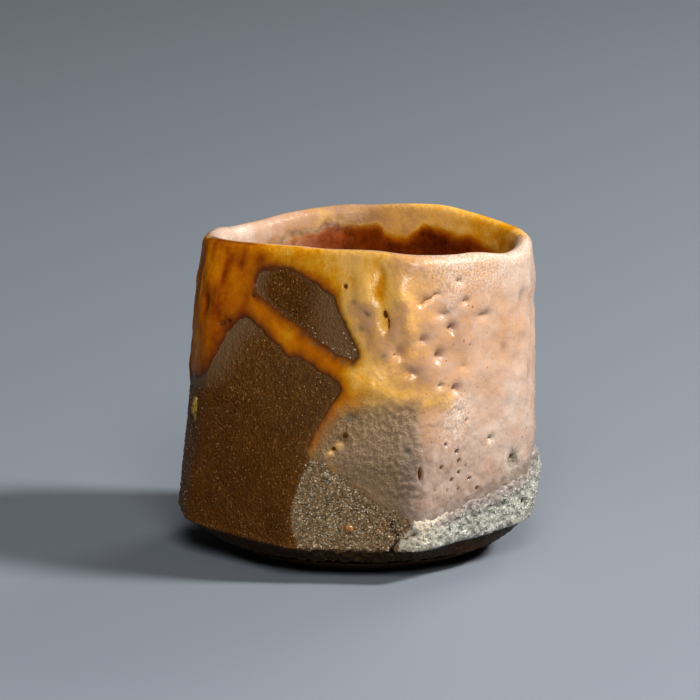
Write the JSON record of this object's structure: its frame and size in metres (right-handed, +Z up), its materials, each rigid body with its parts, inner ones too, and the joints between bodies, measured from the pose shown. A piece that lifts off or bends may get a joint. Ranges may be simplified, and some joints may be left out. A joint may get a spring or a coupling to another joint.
{
  "type": "sake cup",
  "caption": "Hand-carved stoneware sake cup with knife-cut sides, an amber wood-ash glaze, bare clay patches, an ash crust and a low foot ring.",
  "frame": {"origin": "on the table, under the middle of the cup's overall box", "axes": "+Z up out of the cup's mouth, -Y towards the side with the large bare cut, +X towards the side with the ash crust"},
  "size_m": [0.0668, 0.0654, 0.0596],
  "materials": {
    "bare_clay": "rough fired stoneware",
    "foot_clay": "rough fired stoneware",
    "outer_glaze": "satin amber glaze",
    "inner_glaze": "glossy red-brown glaze",
    "ash_crust": "rough grey-green ash",
    "ash_glass": "glossy golden ash glass",
    "feldspar": "half-melted feldspar"
  },
  "bodies": {
    "root": {"clay_body": "bare_clay", "foot_ring": "foot_clay", "outer_glaze": "outer_glaze", "inner_glaze": "inner_glaze", "ash_crust": "ash_crust", "ash_drip": "ash_glass", "melted_stone": "feldspar"}
  },
  "joints": []
}
